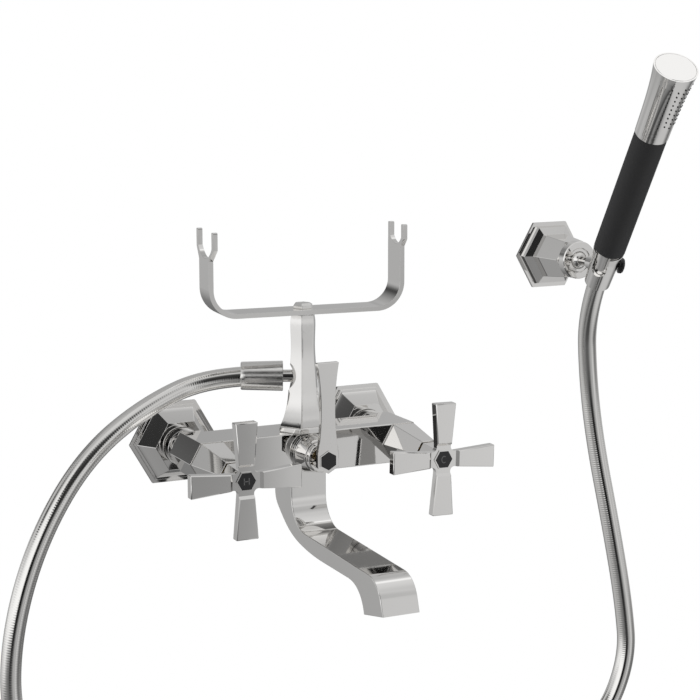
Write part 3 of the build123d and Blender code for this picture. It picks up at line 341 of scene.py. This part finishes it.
finishValues = {
    "chrome": {
        "name": "chromePlate",
        "colour": (0.91, 0.90, 0.885),
        "metallic": 1.0,
        "scale": 25.0,
        "roughness": (0.025, 0.055),
        "bump": 0.01,
    },
    "hose_metal": {
        "name": "satinHoseMetal",
        "colour": (0.93, 0.92, 0.90),
        "metallic": 1.0,
        "scale": 400.0,
        "roughness": (0.07, 0.12),
        "bump": 0.03,
    },
    "steel": {
        "name": "screwSteel",
        "colour": (0.62, 0.63, 0.64),
        "metallic": 1.0,
        "scale": 200.0,
        "roughness": (0.22, 0.34),
        "bump": 0.05,
    },
    "brass": {
        "name": "bareBrass",
        "colour": (0.78, 0.60, 0.30),
        "metallic": 1.0,
        "scale": 120.0,
        "roughness": (0.18, 0.30),
        "bump": 0.04,
    },
    "black_gloss": {
        "name": "blackButton",
        "colour": (0.012, 0.012, 0.013),
        "metallic": 0.0,
        "scale": 150.0,
        "roughness": (0.12, 0.22),
        "bump": 0.03,
    },
    "black_matt": {
        "name": "gripSleeve",
        "colour": (0.018, 0.018, 0.019),
        "metallic": 0.0,
        "scale": 900.0,
        "roughness": (0.52, 0.66),
        "bump": 0.25,
    },
    "white_plastic": {
        "name": "whiteAcetal",
        "colour": (0.78, 0.78, 0.77),
        "metallic": 0.0,
        "scale": 150.0,
        "roughness": (0.30, 0.42),
        "bump": 0.05,
    },
    "rubber": {
        "name": "sealRubber",
        "colour": (0.016, 0.016, 0.017),
        "metallic": 0.0,
        "scale": 300.0,
        "roughness": (0.5, 0.65),
        "bump": 0.15,
    },
}
ferruleFinish = {
    "name": "brushedFerrule",
    "colour": (0.93, 0.92, 0.90),
    "metallic": 1.0,
    "scale": 300.0,
    "roughness": (0.16, 0.24),
    "bump": 0.05,
}
finishes = {slot: finish(**values) for slot, values in finishValues.items()}
finishOfNode = {"mixer_ferrule": finish(**ferruleFinish)}
for nodeName, nodeObject in frame["nodes"].items():
    for materialSlot in nodeObject.material_slots:
        materialSlot.link = "OBJECT"
        materialSlot.material = finishes[slotOfNode[nodeName]]
print("finishes ready")


# Cast, turned and stamped pieces: a merged copy of the CAD mesh with its sharp edges broken. A width of
# 0 leaves the edges as they are, and the copy is only merged and smoothed.
edgeValues = {
    "mergeDistance": 2e-6,
    "flatDegrees": 0.05,
    "sharpDegrees": 22.0,
    "segments": 2,
    "normalWeight": 50,
}


def brokenEdges(nodeName, width, values):
    sharpAngle = math.radians(values["sharpDegrees"])
    flatAngle = math.radians(values["flatDegrees"])
    source = frame["nodes"][nodeName]
    mesh = bpy.data.meshes.new(nodeName + "_finished")
    work = bmesh.new()
    work.from_mesh(source.data)
    bmesh.ops.remove_doubles(work, verts=work.verts, dist=values["mergeDistance"])
    bmesh.ops.dissolve_limit(work, angle_limit=flatAngle, verts=work.verts, edges=work.edges)
    work.to_mesh(mesh)
    work.free()
    mesh.materials.append(finishOfNode.get(nodeName, finishes[slotOfNode[nodeName]]))
    mesh.polygons.foreach_set("use_smooth", np.ones(len(mesh.polygons), dtype=bool))
    mesh.set_sharp_from_angle(angle=sharpAngle)
    piece = bpy.data.objects.new(nodeName + "_finished", mesh)
    bpy.context.scene.collection.objects.link(piece)
    if width:
        bevel = piece.modifiers.new("edges", "BEVEL")
        bevel.width = width
        bevel.segments = values["segments"]
        bevel.limit_method = "ANGLE"
        bevel.angle_limit = sharpAngle
        bevel.miter_outer = "MITER_ARC"
        bevel.use_clamp_overlap = True
    weighted = piece.modifiers.new("normals", "WEIGHTED_NORMAL")
    weighted.mode = "FACE_AREA"
    weighted.weight = values["normalWeight"]
    weighted.keep_sharp = True
    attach(piece, bodyOfNode[nodeName])
    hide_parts(nodeName)


edgeWidths = {
    "hot_wall_flange": 0.0008, "cold_wall_flange": 0.0008, "mixer_body": 0.0008,
    "hot_handle_skirt": 0.0003, "cold_handle_skirt": 0.0003,
    "hot_cross_handle": 0.0005, "cold_cross_handle": 0.0005,
    "diverter_lever": 0.0004, "spout": 0.0, "pillar_plinth": 0.0, "pillar": 0.0003,
    "handset_cradle": 0.0006, "cradle_bolt": 0.0006,
    "bracket_flange": 0.0007, "socket_ring": 0.0004, "holder_cup": 0.0004,
    "hot_union_nut": 0.0002, "cold_union_nut": 0.0002, "diverter_bonnet": 0.0002,
    "mixer_ferrule": 0.0, "outlet_nipple": 0.0, "hose_nut": 0.0003, "clamp_knob": 0.0, "ball_stud": 0.0,
    "handset_grip": 0.0, "head_shell": 0.0, "head_cap": 0.0, "hot_index": 0.0001, "cold_index": 0.0001,
    "diverter_index": 0.0001, "hot_inlet_tail": 0.0, "cold_inlet_tail": 0.0, "aerator_housing": 0.0002,
}
for nodeName, width in edgeWidths.items():
    brokenEdges(nodeName, width, edgeValues)
print("edges broken on", len(edgeWidths), "pieces")

# Hose: one smooth spline in metres. Its points follow the solid's route, and some are moved to lie where
# the photograph shows the hose. The line stays within 2 mm of the solid's.
hoseValues = {
    "radius": 0.0086,
    "length": 1.512,
    "ribPitch": 0.0021,
    "ribDepth": 0.00005,
    "ringsPerRib": 4,
    "sides": 28,
    "splineOrder": 3,
    "splineSteps": 24,
    "smoothedRings": 41,
    "route": [
        (-0.02725, -0.06893, 0.06476), (-0.07327, -0.04940, 0.06520), (-0.1362, -0.061, 0.0465),
        (-0.1940, -0.072, 0.0100), (-0.2378, -0.079, -0.053), (-0.2622, -0.080, -0.128),
        (-0.2658, -0.080, -0.200), (-0.240, -0.080, -0.260), (-0.183, -0.080, -0.303),
        (-0.107, -0.079, -0.331), (-0.020, -0.078, -0.347), (0.070, -0.077, -0.352),
        (0.160, -0.078, -0.348), (0.245, -0.080, -0.334), (0.313, -0.082, -0.300),
        (0.3408, -0.082, -0.240), (0.3370, -0.078, -0.184), (0.3274, -0.0685, -0.112),
        (0.3158, -0.055, -0.030), (0.3090, -0.0505, 0.033), (0.3008, -0.05849, 0.09777),
        (0.29488, -0.09021, 0.13855),
    ],
    "bendFrom": (0.200, -0.080, -0.050),   # the stretch meant to follow the mixer ends here
    "bendTo": (0.292, -0.082, 0.120),      # and the stretch meant to follow the holder starts here
}


def splineLine(values, name):
    points = values["route"]
    curve = bpy.data.curves.new(name, "CURVE")
    curve.dimensions = "3D"
    curve.resolution_u = values["splineSteps"]
    spline = curve.splines.new("NURBS")
    spline.points.add(len(points) - 1)
    spline.points.foreach_set("co", np.column_stack([points, np.ones(len(points))]).ravel())
    spline.order_u = values["splineOrder"]
    spline.use_endpoint_u = True
    holder = bpy.data.objects.new(name, curve)
    bpy.context.scene.collection.objects.link(holder)
    bpy.context.view_layer.update()
    mesh = bpy.data.meshes.new_from_object(holder)
    line = np.empty(3 * len(mesh.vertices))
    mesh.vertices.foreach_get("co", line)
    bpy.data.objects.remove(holder)
    bpy.data.meshes.remove(mesh)
    bpy.data.curves.remove(curve)
    return line.reshape(-1, 3)


def ribbedHose(values):
    # Point on the surface = line(s) + r(s, a) * (cos a * N(s) + sin a * B(s)), where N is the part of +Y
    # square to the line's direction T, B = T x N, and
    # r = radius - ribDepth * |sin(pi * s / pitch + a / 2)|^3. T is a mean over neighbouring rings.
    sides = values["sides"]
    smoothed = values["smoothedRings"]
    line = splineLine(values, "hoseRoute")
    steps = np.linalg.norm(np.diff(line, axis=0), axis=1)
    along = np.concatenate([[0.0], np.cumsum(steps)])
    rings = int(along[-1] / values["ribPitch"] * values["ringsPerRib"]) + 1
    s = np.linspace(0.0, along[-1], rings)
    centre = np.column_stack([np.interp(s, along, line[:, i]) for i in range(3)])
    tangent = np.gradient(centre, s, axis=0)
    kernel = np.ones(smoothed) / smoothed
    padded = np.pad(tangent, ((smoothed // 2, smoothed // 2), (0, 0)), mode="edge")
    tangent = np.column_stack([np.convolve(padded[:, i], kernel, mode="valid") for i in range(3)])
    tangent /= np.linalg.norm(tangent, axis=1)[:, None]
    normal = np.array([0.0, 1.0, 0.0]) - tangent[:, 1:2] * tangent
    normal /= np.linalg.norm(normal, axis=1)[:, None]
    binormal = np.cross(tangent, normal)
    a = np.linspace(0.0, 2.0 * np.pi, sides, endpoint=False)
    groove = np.abs(np.sin(np.pi * s[:, None] / values["ribPitch"] + a[None, :] / 2.0)) ** 3
    r = values["radius"] - values["ribDepth"] * groove
    surface = (
        centre[:, None, :]
        + r[..., None] * np.cos(a)[None, :, None] * normal[:, None, :]
        + r[..., None] * np.sin(a)[None, :, None] * binormal[:, None, :]
    )
    row = np.arange(rings - 1)[:, None] * sides
    column = np.arange(sides)[None, :]
    after = (column + 1) % sides
    corners = [row + column, row + sides + column, row + sides + after, row + after]
    quads = np.stack(corners, axis=-1).reshape(-1, 4)
    mesh = bpy.data.meshes.new("hoseTube")
    caps = [list(range(sides)), list(range((rings - 1) * sides, rings * sides))[::-1]]
    mesh.from_pydata(surface.reshape(-1, 3).tolist(), [], quads.tolist() + caps)
    mesh.polygons.foreach_set("use_smooth", np.ones(len(mesh.polygons), dtype=bool))
    mesh.materials.append(finishes["hose_metal"])
    print("hose:", rings, "rings,", round(float(along[-1]), 4), "m")
    tube = bpy.data.objects.new("hoseTube", mesh)
    bpy.context.scene.collection.objects.link(tube)
    return tube, line


hoseTube, hoseLine = ribbedHose(hoseValues)
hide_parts("hose")
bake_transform(hoseTube)

# Letters on the buttons: a flat band carried along a line in the button's face
letters = {
    "height": 0.0056,
    "width": 0.0042,
    "stroke": 0.00085,
    "thickness": 0.00012,
    "faceDepth": 0.1691,
    "centres": {"hot": -0.090, "cold": 0.090},
    "sweepDegrees": (48.0, 312.0),
    "sweepPoints": 33,
}
letterFinish = {
    "name": "letterPaint",
    "colour": (0.10, 0.10, 0.10),
    "metallic": 0.0,
    "scale": 200.0,
    "roughness": (0.35, 0.45),
    "bump": 0.02,
}
letterPaint = finish(**letterFinish)


def letterBand(points, x, values):
    # Band corners = point +- stroke / 2 * side, where side is the line's direction turned by a quarter.
    points = np.asarray(points, float)
    way = np.gradient(points, axis=0)
    way /= np.linalg.norm(way, axis=1)[:, None]
    side = np.column_stack([-way[:, 1], way[:, 0]]) * values["stroke"] / 2
    flat = np.concatenate([points + side, (points - side)[::-1]])
    count = len(flat)
    back = np.column_stack([x + flat[:, 0], np.full(count, -values["faceDepth"]), flat[:, 1]])
    front = back - [0.0, values["thickness"], 0.0]
    around = np.arange(count)
    walls = np.column_stack([around, (around + 1) % count, (around + 1) % count + count, around + count])
    half = count // 2
    strip = np.arange(half - 1)
    faceQuads = np.column_stack([strip, strip + 1, count - 2 - strip, count - 1 - strip]) + count
    return np.concatenate([back, front]), np.concatenate([walls, faceQuads, faceQuads[:, ::-1] - count])


def letterPiece(side, strokes):
    x = letters["centres"][side]
    allPoints, allFaces, offset = [], [], 0
    for stroke in strokes:
        points, faces = letterBand(stroke, x, letters)
        allPoints.append(points)
        allFaces.append(faces + offset)
        offset += len(points)
    mesh = bpy.data.meshes.new(side + "_letter")
    mesh.from_pydata(np.concatenate(allPoints).tolist(), [], np.concatenate(allFaces).tolist())
    mesh.materials.append(letterPaint)
    work = bmesh.new()
    work.from_mesh(mesh)
    bmesh.ops.recalc_face_normals(work, faces=work.faces)
    work.to_mesh(mesh)
    work.free()
    piece = bpy.data.objects.new(side + "_letter", mesh)
    bpy.context.scene.collection.objects.link(piece)
    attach(piece, side + "_handle")


tall, wide = letters["height"] / 2, letters["width"] / 2
letterPiece("hot", [
    [(-wide, -tall), (-wide, 0.0), (-wide, tall)],
    [(wide, -tall), (wide, 0.0), (wide, tall)],
    [(-wide, 0.0), (0.0, 0.0), (wide, 0.0)],
])
sweepAngle = np.radians(np.linspace(*letters["sweepDegrees"], letters["sweepPoints"]))
letterPiece("cold", [np.column_stack([wide * np.cos(sweepAngle), tall * np.sin(sweepAngle)])])
print("letters ready")
